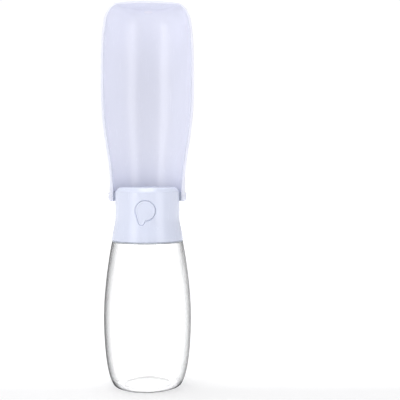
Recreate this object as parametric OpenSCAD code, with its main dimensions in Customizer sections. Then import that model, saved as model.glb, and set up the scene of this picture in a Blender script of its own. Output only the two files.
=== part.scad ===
// Dog travel water bottle: a clear bottle under a screw-on head, with a half-round
// drinking trough hinged at the head. Millimetres, +Z up, origin at the centre of the foot.
// The push button faces -Y, the trough stands open on the +Y side, and its hinge lies along X.

/* [Bottle] */
// Greatest diameter of the bottle
body_d = 79.3; // [77:0.1:82]
// Height from the foot to the top of the shoulder
body_h = 132.5; // [128:0.5:146]
// Height of the greatest diameter above the foot
belly_z = 63; // [56:1:68]
// Diameter of the shoulder, where the head sits
shoulder_d = 64.4; // [63:0.2:65.6]
// Diameter of the flat ring that the bottle stands on
foot_d = 55.6; // [52:0.2:57]
// Diameter where the rounded bottom corner ends
corner_d = 67.8; // [66:0.2:70]
// Height where the rounded bottom corner ends
corner_h = 7.2; // [7:0.1:9]
// Diameter of the raised dome in the foot
punt_d = 44; // [36:1:48]
// Height of the raised dome in the foot
punt_h = 5; // [3:0.5:7]
// Wall of the bottle
bottle_wall = 1.5; // [1:0.1:2]
// Outer diameter of the neck
neck_d = 39.6; // [38.6:0.1:40]
// Wall of the neck
neck_wall = 1.4; // [1.2:0.1:2]
// Height of the neck above the shoulder
neck_h = 14.3; // [12:0.1:16]

/* [Head] */
// Room between the bottle's neck and the head's wall
neck_room = 7.5; // [7.4:0.1:8]
// Diameter of the head's lower edge
collar_foot_d = 64.8; // [64:0.1:66]
// Height of the head from its lower edge to its deck
collar_h = 47.4; // [45:0.2:50]
// Height of the flare at the head's lower edge
flare_h = 19.4; // [14:0.2:22]
// Wall of the head
collar_wall = 2; // [1.6:0.1:2.2]
// Thickness of the deck on top of the head
deck_t = 2.5; // [2:0.1:3]
// Height of the bevel round the deck
bevel_h = 4.2; // [2:0.1:4.4]
// Width of the bevel round the deck
bevel_w = 3.8; // [2:0.1:4.4]
// Diameter of the water outlet in the deck
outlet_d = 12; // [9:0.5:13]
// Thickness of the bulkhead that closes the bottle's neck
bulkhead_t = 2; // [1.6:0.1:2.6]
// Diameter of the lanyard eye's hole
eye_hole_d = 3; // [2.4:0.1:3.4]
// Width of the lanyard eye
eye_w = 3.2; // [2.5:0.1:5]

/* [Button] */
// Diameter of the round part of the button
button_d = 17.4; // [16:0.1:19]
// Height of the button's centre above the head's lower edge
button_up = 27.4; // [25:0.1:29]
// How far the button stands proud of the head
button_proud = 0.6; // [0.2:0.1:1]
// Travel of the button and of the valve
travel = 2.8; // [2:0.1:2.9]
// Width of the slide behind the button
slide_w = 8; // [7:0.5:9]
// Height of the slide behind the button
slide_h = 5.7; // [5:0.1:6.5]

/* [Valve] */
// Diameter of the valve's stem
stem_d = 4; // [3:0.1:4.6]
// Diameter of the passage through the valve seat
seat_d = 15; // [13:0.5:16]
// Diameter of the soft valve disc
disc_d = 18.8; // [18:0.1:19.4]
// Thickness of the soft valve disc
disc_t = 2.4; // [1.8:0.1:2.8]
// Outer diameter of the valve's cage
cage_d = 28; // [26.5:0.5:30]
// Free depth inside the cage, under the stem's flange
cage_depth = 7; // [6.5:0.1:8]
// Inner diameter of the tube that leads up to the outlet
tube_d = 18; // [16.5:0.1:18.6]
// Wall of the tube that leads up to the outlet
tube_wall = 1.4; // [1.2:0.1:1.6]
// Wire of the two springs
wire_d = 0.8; // [0.5:0.05:0.9]

/* [Trough] */
// Wall of the trough
trough_wall = 2; // [1.6:0.1:2.4]
// Gap between the folded trough and the bottle's belly
belly_gap = 0.8; // [0.6:0.1:2]
// Gap between the trough and the side of the head
head_gap = 2.9; // [2.6:0.1:3.2]
// Gap between the folded trough and the bottle's foot
foot_gap = 3; // [2.8:0.1:5]
// Height of the hinge's axis below the deck
hinge_drop = 8.2; // [7.8:0.1:8.6]
// Straight length of the trough above its hinge
mouth_l = 14; // [10:0.5:18]
// Distance from the hinge at which the trough reaches its full width
swell_l = 98; // [90:1:104]
// Distance from the trough's tip at which its round end starts
tip_l = 15.5; // [13:0.5:18]
// How much narrower than its full width the trough is where its round end starts
tip_narrowing = 6.4; // [5.6:0.2:10]
// Length of the skirt that hides the head's side below the hinge
skirt_l = 4.5; // [3:0.1:4.8]
// Radius of the hinge's ears
ear_r = 4.8; // [4.6:0.1:5.2]
// Thickness of the hinge's ears
ear_t = 3.4; // [3.2:0.1:4]
// Diameter of the hinge's pins
pin_d = 4; // [3:0.1:4]

/* [Hidden] */
$fn = 96;
eps = 0.01;

// Colours
plastic = "#dde2f6";
inner_plastic = "#eef0f8";
silicone = "#f4f4f2";
steel = "#b9bdc4";

// Clearances
running = 0.05; // radial, round a pin or a stem that turns or slides
sliding = 0.3; // all round, where flat sided pieces slide
seam = 0.4; // the line between the bottle and the head, and round the button
fitted = 0.2; // between the neck insert and the head it is pushed into
spring_play = 0.1; // between the ends of a spring and its seats
thread_gap = 1.3; // between the neck and the insert, taken up by the screw threads

// Heights
collar_z = body_h + seam - 0.1;
deck_z = collar_z + collar_h;
deck_low = deck_z - deck_t;
flare_z = collar_z + flare_h;
hinge_z = deck_z - hinge_drop;
rim_z = body_h + neck_h;
gasket_t = 1.6;
bulkhead_z = rim_z + gasket_t;
floor_z = bulkhead_z + bulkhead_t;
button_z = collar_z + button_up;

// Head
collar_r = neck_d / 2 + neck_room + collar_wall;
bore_r = collar_r - collar_wall;
skirt_in_r = neck_d / 2 + thread_gap;
skirt_wall = 1.5;
skirt_z = body_h + 1.2;
screw_circle_r = (skirt_in_r + skirt_wall + bore_r) / 2;
post_angles = [68, 205, 335];
post_r = 2.2;
post_h = 10;
screw_r = 1;
screw_head_r = 1.7;
screw_head_t = 1.3;
pin_head_r = 2.8;
pin_head_t = 1.2;
boss_r = 3.9;
boss_l = 3.4;
eye_r = eye_hole_d / 2 + 1.7;
eye_y = collar_r + eye_hole_d / 2 + 0.1;
eye_z = deck_z - 19.6;
lug_fit = 0.03;
lug_flange_w = 7;
lug_flange_t = 1.4;
stop_w = 16;
stop_t = 2;
stop_h = 3;

// Valve
seat_lip_t = 0.8;
seat_lip_w = 1.4;
flange_t = 1.6;
disc_z = bulkhead_z - seat_lip_t - disc_t;
flange_z = disc_z - flange_t;
flange_r = seat_d / 2 - 0.3;
cage_floor_t = 1.6;
cage_floor_z = flange_z - cage_depth;
cage_z = cage_floor_z - cage_floor_t;
cage_ring_t = 1.5;
cage_wall = 2;
leg_w = 3;
stem_tip_drop = 0.6;
guide_r = 3.6;
guide_over = 0.6;
arm_w = 1.8;
tube_r = tube_d / 2 + tube_wall;
peg_r = 1.2;
peg_head_r = 1.8;
peg_circle_r = tube_r + peg_head_r + 0.5;
outlet_seal_t = 1.6;
tube_top = deck_low - outlet_seal_t;

// Wedge: the slide's fork pushes the follower straight down, as far as the button goes in
follower_d = 8;
follower_w = slide_w + 1;
follower_z = floor_z + travel + 1;
follower_h = 6;
follower_top = follower_z + follower_h;
wedge_play = 0.15;
slide_z = follower_top - follower_d / 2 + sliding;
slot_w = 4.4;
slot_l = 8.3;
cam_screw_r = 0.9;
cam_screw_head_r = 1.8;
cam_screw_head_t = 1.2;

// Seal round the slide
pad_y = tube_r + 3.1;
seal_t = 1.5;
retainer_t = 1.2;
pad_w = 19;
pad_depth = 5.2;
seal_w = slide_w + 5;
seal_h = slide_h + 6.2;
retainer_h = seal_h + 3;
retainer_screw_x = pad_w / 2 - 1.5;
retainer_screw_r = 0.9;
retainer_y = pad_y + seal_t + retainer_t;

// Button
button_r = button_d / 2;
button_in_r = bore_r - 1.3;
lip_grow = 1.4;
seat_disc_r = 7.5;
seat_y = button_in_r - 1.8;

// Trough
trough_r = body_d / 2 + belly_gap + trough_wall;
mouth_r = collar_r + head_gap + trough_wall;
tip_r = trough_r - tip_narrowing / 2;
reach = hinge_z + foot_gap + trough_wall + 0.3;
lip_r = collar_r + 1.2;
lip_l = 3;
crown_drop = 1;
ear_in = collar_r + 1.5;
ear_out = ear_in + ear_t;
ear_boss_r = 3.4;
ear_boss_t = 1.2;
ear_web_l = 18;
pin_l = ear_in + 3 - (bore_r - boss_l);

// A cubic curve from a to d, with handles b and c
function curve(a, b, c, d, n = 8) = [for (i = [0 : n]) let (t = i / n, u = 1 - t)
    u * u * u * a + 3 * u * u * t * b + 3 * u * t * t * c + t * t * t * d];
function rest(path) = [for (i = [1 : len(path) - 1]) path[i]];
function reversed(path) = [for (i = [len(path) - 1 : -1 : 0]) path[i]];
// A quarter round of radius r about the point c, from the angle a to the angle b
function round_edge(c, r, a, b, n = 4) = [for (i = [0 : n]) let (w = a + (b - a) * i / n)
    c + r * [cos(w), sin(w)]];
// The path moved sideways by w, to the left of its direction
function inset(path, w) = [for (i = [0 : len(path) - 1])
    let (a = path[max(i - 1, 0)], b = path[min(i + 1, len(path) - 1)], t = (b - a) / norm(b - a))
    path[i] + w * [-t[1], t[0]]];
function on_axis(p) = [0, p[1]];

module plate_hole(r, h) { translate([0, 0, -eps]) cylinder(r = r, h = h + 2 * eps); }

module ring(outer_r, inner_r, h) {
    difference() {
        cylinder(r = outer_r, h = h);
        plate_hole(inner_r, h);
    }
}

// A coil that stands on z = 0 with closed end turns
module coil(mean_r, height, turns, wire) {
    sides = 8;
    per_turn = 16;
    rings = turns * per_turn;
    free_h = height - 2 * spring_play - wire;
    end_rise = wire * 1.08;
    mid_rise = (free_h - 2 * end_rise) / (turns - 2);
    function rise(t) = t < 1 ? t * end_rise
        : t > turns - 1 ? free_h - (turns - t) * end_rise
        : end_rise + (t - 1) * mid_rise;
    pts = [for (i = [0 : rings], k = [0 : sides - 1])
        let (t = i / per_turn, a = 360 * t, w = 360 * k / sides, r = mean_r + wire / 2 * cos(w))
        [r * cos(a), r * sin(a), spring_play + wire / 2 + rise(t) + wire / 2 * sin(w)]];
    walls = [for (i = [0 : rings - 1], k = [0 : sides - 1]) let (m = (k + 1) % sides)
        [i * sides + k, i * sides + m, (i + 1) * sides + m, (i + 1) * sides + k]];
    start = [for (k = [sides - 1 : -1 : 0]) k];
    end = [for (k = [0 : sides - 1]) rings * sides + k];
    polyhedron(pts, concat([start], walls, [end]));
}

// ---- Bottle ----

module bottle() {
    foot_r = foot_d / 2;
    belly = [body_d / 2, belly_z];
    edge = 1.2;
    punt = curve([0, punt_h], [punt_d / 5, punt_h], [punt_d / 2 - 5, 1], [punt_d / 2, 0], 6);
    corner = curve([foot_r, 0], [foot_r + 3.5, 0], [corner_d / 2 - 2.4, corner_h - 5.3], [corner_d / 2, corner_h]);
    low = curve([corner_d / 2, corner_h], [corner_d / 2 + 3.1, corner_h + 8.4], belly - [0, 27], belly);
    high = curve(belly, belly + [0, 24.6], [shoulder_d / 2 + 2.1, body_h - 10.6],
        [shoulder_d / 2, body_h - edge], 10);
    side = concat(punt, corner, rest(low), rest(high));
    neck_in_r = neck_d / 2 - neck_wall;
    outside = concat(side,
        rest(round_edge([shoulder_d / 2 - edge, body_h - edge], edge, 0, 90)),
        round_edge([neck_d / 2 + edge, body_h + edge], edge, 270, 180),
        round_edge([neck_d / 2 - 0.5, rim_z - 0.5], 0.5, 0, 90, 3));
    inner_side = inset(side, bottle_wall);
    inside = concat([on_axis(inner_side[0])], rest(inner_side),
        [[shoulder_d / 2 - bottle_wall - edge, body_h - bottle_wall]],
        [[neck_in_r, body_h - bottle_wall]],
        [[neck_in_r, rim_z]]);
    color("#e8f1f4") rotate_extrude() polygon(concat(outside, reversed(inside)));
}

module neck_gasket() {
    color(silicone) translate([0, 0, rim_z])
        ring(neck_d / 2 + 0.6, neck_d / 2 - neck_wall - 0.6, gasket_t);
}

// ---- Head ----

// The button seen from the front: a round pad with a short thumb tab at its lower left
module button_outline(grow) {
    tab = [-3.4, -button_r - 1.6];
    tab_r = 2.5;
    circle(r = button_r + grow);
    translate(tab) circle(r = tab_r + grow);
    polygon([
        [-button_r * 0.88 - grow, -button_r * 0.5],
        [tab[0] - tab_r - grow, tab[1]],
        [tab[0] + tab_r + grow, tab[1]],
        [1.4 + grow, -button_r * 0.9]]);
}

// The outline pushed along Y through the front of the head
module button_prism(grow) {
    translate([0, -collar_r / 2, button_z]) rotate([90, 0, 0])
        linear_extrude(collar_r) button_outline(grow);
}

module collar_shell() {
    foot_r = collar_foot_d / 2;
    flare = curve([foot_r, collar_z], [foot_r - 0.7, collar_z + flare_h * 0.42],
        [collar_r + 0.1, flare_z - flare_h * 0.3], [collar_r, flare_z]);
    outside = concat(flare, [[collar_r, deck_z - bevel_h]]);
    inside = concat(inset(flare, collar_wall), [[bore_r, deck_z - bevel_h]]);
    rotate_extrude() polygon(concat(outside, reversed(inside)));
}

// The bevelled cover on top of the head, welded to the end of its wall
module deck_cover() {
    bevel = curve([collar_r, deck_z - bevel_h], [collar_r - bevel_w * 0.24, deck_z - bevel_h * 0.6],
        [collar_r - bevel_w * 0.6, deck_z - bevel_h * 0.24], [collar_r - bevel_w, deck_z], 4);
    outside = concat(bevel, [[outlet_d / 2, deck_z]]);
    inside = [[bore_r, deck_z - bevel_h], [collar_r - bevel_w, deck_low], [outlet_d / 2, deck_low]];
    color(plastic) rotate_extrude() polygon(concat(outside, reversed(inside)));
}

module collar_posts() {
    for (a = post_angles) rotate(a) translate([screw_circle_r, 0, floor_z]) difference() {
        union() {
            cylinder(r = post_r, h = post_h);
            translate([0, -post_r / 2, 0]) cube([bore_r + collar_wall / 2 - screw_circle_r, post_r, post_h]);
        }
        translate([0, 0, -eps]) cylinder(r = screw_r, h = post_h - 2);
    }
}

module hinge_bosses() {
    for (m = [0, 1]) mirror([m, 0, 0]) translate([bore_r - boss_l, 0, hinge_z])
        rotate([0, 90, 0]) cylinder(r = boss_r, h = boss_l + collar_wall / 2);
}

// The lug of the lanyard's eye, seen from the side and grown all round
module lug_outline(grow) {
    translate([-eye_w / 2 - grow, 0, eye_z - eye_r - grow])
        cube([eye_w + 2 * grow, eye_y, 2 * (eye_r + grow)]);
}

// A ledge at the back, on which the open trough's skirt comes to rest
module back_stop() {
    top = hinge_z - skirt_l - sliding;
    intersection() {
        translate([0, 0, top - stop_h]) ring(collar_r + stop_t, collar_r - collar_wall / 2, stop_h);
        translate([-stop_w / 2, 0, top - stop_h]) cube([stop_w, collar_r + stop_t, stop_h]);
    }
}

module collar() {
    pin_from = bore_r - boss_l - 1;
    color(plastic) difference() {
        union() {
            collar_shell();
            collar_posts();
            hinge_bosses();
            back_stop();
        }
        button_prism(seam);
        for (m = [0, 1]) mirror([m, 0, 0]) translate([pin_from, 0, hinge_z])
            rotate([0, 90, 0]) cylinder(d = pin_d, h = collar_r - pin_from + 1);
        translate([0, bore_r - 2, 0]) lug_outline(lug_fit);
    }
}

// Pushed out through the back of the head from inside, until its flange meets the wall
module lanyard_lug() {
    color(plastic) difference() {
        union() {
            translate([-eye_w / 2, eye_y, eye_z]) rotate([0, 90, 0]) cylinder(r = eye_r, h = eye_w);
            translate([-eye_w / 2, bore_r - lug_flange_t, eye_z - eye_r])
                cube([eye_w, eye_y - bore_r + lug_flange_t, 2 * eye_r]);
            intersection() {
                cylinder(r = bore_r - 0.01, h = deck_z);
                translate([-lug_flange_w / 2, bore_r - lug_flange_t, eye_z - eye_r - 1])
                    cube([lug_flange_w, lug_flange_t, 2 * eye_r + 2]);
            }
        }
        translate([-eye_w, eye_y, eye_z]) rotate([0, 90, 0]) cylinder(d = eye_hole_d, h = 2 * eye_w);
    }
}

module peg_places() {
    for (a = [90, 210, 330]) rotate(a) translate([peg_circle_r, 0, 0]) children();
}

// Threaded skirt, bulkhead with the valve seat, and the tube up to the outlet
module neck_insert() {
    flange_out_r = bore_r - fitted;
    pad_z = floor_z - eps;
    pad_h = slide_z + slide_h / 2 + retainer_h / 2 - floor_z;
    color(inner_plastic) difference() {
        union() {
            translate([0, 0, skirt_z]) cylinder(r = skirt_in_r + skirt_wall, h = bulkhead_z - skirt_z + eps);
            translate([0, 0, bulkhead_z]) cylinder(r = flange_out_r, h = bulkhead_t);
            translate([0, 0, floor_z - eps]) cylinder(r = tube_r, h = tube_top - floor_z + eps);
            translate([-pad_w / 2, -pad_y, pad_z]) cube([pad_w, pad_depth, pad_h]);
            for (a = [0, 50, 130, 180]) rotate(a) translate([skirt_in_r + 1, -0.7, bulkhead_z - 6])
                cube([flange_out_r - skirt_in_r - 1.6, 1.4, 6 + eps]);
        }
        // the bore for the bottle's neck
        translate([0, 0, skirt_z - 1]) cylinder(r = skirt_in_r, h = bulkhead_z - skirt_z + 1);
        // the passage through the seat and up the tube
        translate([0, 0, bulkhead_z - 1]) cylinder(d = seat_d, h = bulkhead_t + 2);
        translate([0, 0, floor_z]) cylinder(d = tube_d, h = tube_top - floor_z + 1);
        // the window for the slide
        translate([-slide_w / 2 - sliding, -pad_y - 1, slide_z - sliding])
            cube([slide_w + 2 * sliding, pad_y, slide_h + 2 * sliding]);
        // room for the button, whose tab reaches down in front of the bulkhead
        translate([-button_r - lip_grow - 1.5, -bore_r - 1, bulkhead_z - 1])
            cube([2 * (button_r + lip_grow + 1.5), bore_r + 1 - skirt_in_r - skirt_wall + 1.2, bulkhead_t + 2]);
        for (a = post_angles) rotate(a) translate([screw_circle_r, 0, bulkhead_z]) plate_hole(screw_r, bulkhead_t);
        translate([0, 0, bulkhead_z]) peg_places() plate_hole(peg_r, bulkhead_t);
        for (s = [-1, 1]) translate([s * retainer_screw_x, -pad_y - 1, slide_z + slide_h / 2])
            rotate([-90, 0, 0]) cylinder(r = retainer_screw_r, h = 5);
    }
    // the seat's lip
    color(inner_plastic) translate([0, 0, bulkhead_z - seat_lip_t])
        ring(seat_d / 2 + seat_lip_w, seat_d / 2, seat_lip_t + eps);
    // the guide for the stem, on three arms
    color(inner_plastic) difference() {
        union() {
            translate([0, 0, bulkhead_z - 0.5]) cylinder(r = guide_r, h = bulkhead_t + 0.5 + guide_over);
            for (a = [30, 150, 270]) rotate(a) translate([0, -arm_w / 2, bulkhead_z])
                cube([seat_d / 2 + 0.5, arm_w, bulkhead_t]);
        }
        translate([0, 0, bulkhead_z - 1]) cylinder(r = stem_d / 2 + running, h = bulkhead_t + 3);
    }
}

module insert_screws() {
    color(steel) for (a = post_angles) rotate(a) translate([screw_circle_r, 0, bulkhead_z]) {
        difference() {
            translate([0, 0, -screw_head_t]) cylinder(r = screw_head_r, h = screw_head_t);
            translate([-screw_head_r, -0.25, -screw_head_t - eps]) cube([2 * screw_head_r, 0.5, 0.6]);
        }
        cylinder(r = screw_r, h = bulkhead_t + post_h - 3);
    }
}

module outlet_seal() {
    color(silicone) translate([0, 0, tube_top]) ring(tube_r, tube_r - 3, outlet_seal_t);
}

// ---- Valve ----

// Hangs under the bulkhead on three pegs, and carries the lower end of the spring
module valve_cage() {
    cage_r = cage_d / 2;
    ring_z = bulkhead_z - cage_ring_t;
    color(inner_plastic) {
        translate([0, 0, ring_z]) ring(cage_r, disc_d / 2 + 0.8, cage_ring_t);
        difference() {
            translate([0, 0, cage_z]) cylinder(r = cage_r, h = cage_floor_t);
            translate([0, 0, cage_z]) plate_hole(stem_d / 2 + 0.4, cage_floor_t);
            for (a = [0 : 60 : 300]) rotate(a) translate([cage_r - 4.4, 0, cage_z])
                plate_hole(2, cage_floor_t);
        }
        for (a = [0 : 90 : 270]) rotate(a + 45)
            translate([cage_r - cage_wall, -leg_w / 2, cage_z + cage_floor_t - eps])
            intersection() {
                cube([cage_wall, leg_w, ring_z - cage_floor_z + 2 * eps]);
                translate([cage_wall - cage_r, leg_w / 2, 0]) cylinder(r = cage_r, h = cage_depth * 3);
            }
        peg_places() {
            translate([0, 0, bulkhead_z - eps]) cylinder(r = peg_r, h = bulkhead_t + 2 * eps);
            translate([0, 0, floor_z]) cylinder(r = peg_head_r, h = 1);
        }
    }
}

module valve_stem() {
    color(inner_plastic) difference() {
        union() {
            translate([0, 0, cage_z + cage_floor_t - stem_tip_drop])
                cylinder(d = stem_d, h = follower_z + 2.3 - cage_floor_z + stem_tip_drop);
            translate([0, 0, flange_z]) cylinder(r = flange_r, h = flange_t);
        }
        translate([0, 0, follower_z - 3.4]) cylinder(r = cam_screw_r, h = 8);
    }
}

module valve_disc() {
    color(silicone) translate([0, 0, disc_z]) ring(disc_d / 2, stem_d / 2, disc_t);
}

module valve_spring() {
    color(steel) translate([0, 0, cage_floor_z]) coil(stem_d / 2 + 2.6, cage_depth, 4, wire_d);
}

// Block on top of the stem, with a 45 degree face on its front edge
module stem_follower() {
    half = follower_d / 2;
    color(inner_plastic) difference() {
        translate([-follower_w / 2, 0, 0]) rotate([90, 0, 90]) linear_extrude(follower_w) polygon([
            [-half, follower_z], [half, follower_z], [half, follower_top],
            [0, follower_top], [-half, follower_top - half]]);
        translate([0, 0, follower_z - eps]) cylinder(d = stem_d, h = 2.3 + eps);
        translate([0, 0, follower_z]) cylinder(r = cam_screw_r, h = follower_h + 1);
    }
}

module follower_screw() {
    color(steel) {
        translate([0, 0, follower_z - 3]) cylinder(r = cam_screw_r, h = follower_h + 3 + eps);
        difference() {
            translate([0, 0, follower_top]) cylinder(r = cam_screw_head_r, h = cam_screw_head_t);
            translate([-2, -0.25, follower_top + 0.7]) cube([4, 0.5, 1]);
        }
    }
}

// ---- Button ----

module button() {
    face_r = collar_r + button_proud;
    color(plastic) difference() {
        union() {
            intersection() {
                button_prism(0);
                cylinder(r = face_r - 0.35, h = deck_z);
            }
            intersection() {
                button_prism(-0.4);
                cylinder(r = face_r, h = deck_z);
            }
            intersection() {
                button_prism(lip_grow);
                cylinder(r = bore_r - sliding, h = deck_z);
            }
        }
        cylinder(r = button_in_r, h = deck_z);
    }
}

// Carries the button's push through the seal to the follower; forked round the stem
module push_slide() {
    mid_z = slide_z + slide_h / 2;
    tip_y = slide_h + slide_z - follower_top - wedge_play;
    toe_y = slide_z - follower_top - wedge_play;
    color(inner_plastic) {
        intersection() {
            translate([0, -seat_y, mid_z]) rotate([90, 0, 0]) cylinder(r = seat_disc_r, h = 4);
            cylinder(r = button_in_r, h = deck_z);
        }
        difference() {
            translate([-slide_w / 2, 0, 0]) rotate([90, 0, 90]) linear_extrude(slide_w) polygon([
                [-seat_y - 0.5, slide_z], [toe_y, slide_z],
                [tip_y, slide_z + slide_h], [-seat_y - 0.5, slide_z + slide_h]]);
            translate([-slot_w / 2, tip_y - slot_l, slide_z - 1]) cube([slot_w, slot_l + 1, slide_h + 2]);
        }
    }
}

module button_spring() {
    color(steel) translate([0, -retainer_y, slide_z + slide_h / 2]) rotate([90, 0, 0])
        coil(5.6, seat_y - retainer_y, 4, wire_d);
}

// A plate that stands across the slide at the distance y, with a hole of the slide's outline
module slide_frame(w, h, y, t, play) {
    difference() {
        translate([-w / 2, -y - t, slide_z + slide_h / 2 - h / 2]) cube([w, t, h]);
        translate([-slide_w / 2 - play, -y - t - 1, slide_z - play])
            cube([slide_w + 2 * play, t + 2, slide_h + 2 * play]);
    }
}

module slide_seal() {
    color(silicone) slide_frame(seal_w, seal_h, pad_y, seal_t, 0.15);
}

module seal_retainer() {
    color(inner_plastic) difference() {
        slide_frame(pad_w, retainer_h, pad_y, seal_t + retainer_t, sliding);
        translate([-seal_w / 2, -pad_y - seal_t, slide_z + slide_h / 2 - seal_h / 2])
            cube([seal_w, seal_t + 1, seal_h]);
        for (s = [-1, 1]) translate([s * retainer_screw_x, -retainer_y - 1, slide_z + slide_h / 2])
            rotate([-90, 0, 0]) cylinder(r = retainer_screw_r, h = 6);
    }
}

module retainer_screws() {
    color(steel) for (s = [-1, 1])
        translate([s * retainer_screw_x, -retainer_y, slide_z + slide_h / 2]) rotate([-90, 0, 0]) {
            cylinder(r = retainer_screw_r, h = seal_t + retainer_t + 3.5);
            difference() {
                translate([0, 0, -1]) cylinder(r = 1.4, h = 1);
                translate([-2, -0.25, -1.1]) cube([4, 0.5, 0.6]);
            }
        }
}

// ---- Trough ----

module hinge_pins() {
    color(steel) for (m = [0, 1]) mirror([m, 0, 0]) translate([bore_r - boss_l, 0, hinge_z])
        rotate([0, 90, 0]) {
            cylinder(d = pin_d, h = pin_l);
            translate([0, 0, -pin_head_t]) cylinder(r = pin_head_r, h = pin_head_t);
        }
}

// Half of a turned shell, drawn from its skirt to its tip with the hinge at height 0
module trough_shell() {
    tip_z = reach - tip_l;
    crown_r = foot_d / 2;
    swell = curve([mouth_r, mouth_l], [mouth_r, mouth_l + (swell_l - mouth_l) / 4],
        [trough_r, swell_l - (swell_l - mouth_l) * 0.48], [trough_r, swell_l], 12);
    upper = curve([trough_r, swell_l], [trough_r, swell_l + (tip_z - swell_l) * 0.38],
        [tip_r + 3.4, tip_z - 16], [tip_r, tip_z], 10);
    corner = curve([tip_r, tip_z], [tip_r - 1.2, tip_z + 5.5], [tip_r - 4.8, reach - 2.6],
        [crown_r, reach - crown_drop]);
    crown = curve([crown_r, reach - crown_drop], [crown_r * 0.7, reach - crown_drop * 0.3], [crown_r * 0.4, reach], [0, reach], 5);
    outside = concat(swell, rest(upper), rest(corner), rest(crown));
    inner = inset(outside, trough_wall);
    inside = concat([for (i = [0 : len(inner) - 2]) inner[i]], [on_axis(inner[len(inner) - 1])]);
    rotate_extrude(angle = 180) polygon(concat(
        [[mouth_r, -skirt_l]], outside, reversed(inside),
        [[mouth_r - trough_wall, lip_l - skirt_l + 1], [lip_r, lip_l - skirt_l], [lip_r, -skirt_l]]));
}

module ear() {
    intersection() {
        translate([ear_in, 0, 0]) rotate([90, 0, 90]) linear_extrude(ear_t + 1) {
            circle(r = ear_r);
            polygon([[-ear_r, 0], [ear_r, 0], [ear_r * 0.8, ear_web_l], [0, ear_web_l]]);
        }
        // the ear's inner face runs out into the trough's
        translate([0, ear_r + 1, 0]) rotate([90, 0, 0]) linear_extrude(2 * ear_r + 2) polygon([
            [ear_in, -ear_r - 1], [ear_out + 1, -ear_r - 1], [ear_out + 1, ear_web_l + 1],
            [mouth_r - trough_wall, ear_web_l + 1], [ear_in, ear_r]]);
        translate([0, 0, -ear_r - 1]) cylinder(r = ear_out, h = ear_r + ear_web_l + 2);
    }
    translate([ear_out - 1, 0, 0]) rotate([0, 90, 0]) cylinder(r = ear_boss_r, h = 1 + ear_boss_t);
}

module trough() {
    color(plastic) translate([0, 0, hinge_z]) difference() {
        union() {
            trough_shell();
            for (m = [0, 1]) mirror([m, 0, 0]) ear();
        }
        for (m = [0, 1]) mirror([m, 0, 0]) translate([ear_in - 1, 0, 0])
            rotate([0, 90, 0]) cylinder(r = pin_d / 2 + running, h = 4.2);
    }
}

bottle();
neck_gasket();
collar();
deck_cover();
lanyard_lug();
neck_insert();
insert_screws();
outlet_seal();
valve_cage();
valve_stem();
valve_disc();
valve_spring();
stem_follower();
follower_screw();
button();
push_slide();
button_spring();
slide_seal();
seal_retainer();
retainer_screws();
hinge_pins();
trough();
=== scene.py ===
# %% [markdown]
# # A dog's travel water bottle
# A clear bottle stands under a screwed-on head. A half-round drinking trough is hinged at
# the head: it stands open above it, and folds down over the bottle for the road. Pressing
# the round button opens the valve in the neck, and water runs up into the trough.
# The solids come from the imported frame, already in place and in metres. This lesson dresses
# them: turned shells with real wall thickness, moulded edges, threads, springs and finishes.

# %% The frame
import bpy, bmesh, math
from mathutils import Matrix, Vector


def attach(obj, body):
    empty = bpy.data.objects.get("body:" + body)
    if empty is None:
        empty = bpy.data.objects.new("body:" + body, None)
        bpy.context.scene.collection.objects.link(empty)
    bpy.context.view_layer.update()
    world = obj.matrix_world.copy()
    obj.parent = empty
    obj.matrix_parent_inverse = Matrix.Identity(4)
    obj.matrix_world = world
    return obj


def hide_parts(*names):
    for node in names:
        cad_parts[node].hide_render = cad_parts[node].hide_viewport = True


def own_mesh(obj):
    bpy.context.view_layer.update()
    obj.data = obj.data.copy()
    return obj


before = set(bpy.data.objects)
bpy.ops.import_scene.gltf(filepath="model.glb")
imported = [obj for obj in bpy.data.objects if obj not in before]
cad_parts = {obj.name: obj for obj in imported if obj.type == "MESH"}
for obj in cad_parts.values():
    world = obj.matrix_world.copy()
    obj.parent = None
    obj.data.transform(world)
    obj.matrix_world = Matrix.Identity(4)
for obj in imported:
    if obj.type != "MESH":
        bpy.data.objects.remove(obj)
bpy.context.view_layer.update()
MM = 0.001
scene = bpy.context.scene

# %% [markdown]
# ## The camera
# The bottle is seen from in front and a little above its middle, with a moderately long
# lens, so the deck shows as a thin sliver and the rim of the foot curves gently. The
# camera could be turned down further, but then the upright sides would converge: a small
# shift of the lens frames the object instead.

# %% Camera
lens = bpy.data.cameras.new("camera")
lens.lens = 68.13
lens.sensor_width = 36
lens.shift_y = -0.028
camera = bpy.data.objects.new("camera", lens)
camera.location = (0.0479, -0.690, 0.194)
camera.rotation_euler = (math.radians(90 - 1.26), 0, 0)
scene.collection.objects.link(camera)
scene.camera = camera
print("camera at", tuple(round(v, 4) for v in camera.location), "lens", lens.lens)

# %% [markdown]
# ## Reading node maths aloud
# A finish is a web of nodes, and so is a recipe for a shape. Wired by hand it is hard to
# read, so one small class wraps a socket and lets Python's own operators add the Math
# nodes: `0.3 + 0.1 * grain` reads as it computes. Every other node comes from a single
# method that takes its type, its settings and the values or links of its sockets.

# %% Sockets that can be added and multiplied
class Wire:
    def __init__(self, web, socket):
        self.web, self.socket = web, socket

    def maths(self, operation, first, second):
        return self.web.node("ShaderNodeMath", {"operation": operation}, {0: first, 1: second})

    def __add__(self, other): return self.maths("ADD", self, other)
    def __radd__(self, other): return self.maths("ADD", other, self)
    def __sub__(self, other): return self.maths("SUBTRACT", self, other)
    def __rsub__(self, other): return self.maths("SUBTRACT", other, self)
    def __mul__(self, other): return self.maths("MULTIPLY", self, other)
    def __rmul__(self, other): return self.maths("MULTIPLY", other, self)
    def __truediv__(self, other): return self.maths("DIVIDE", self, other)

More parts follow.
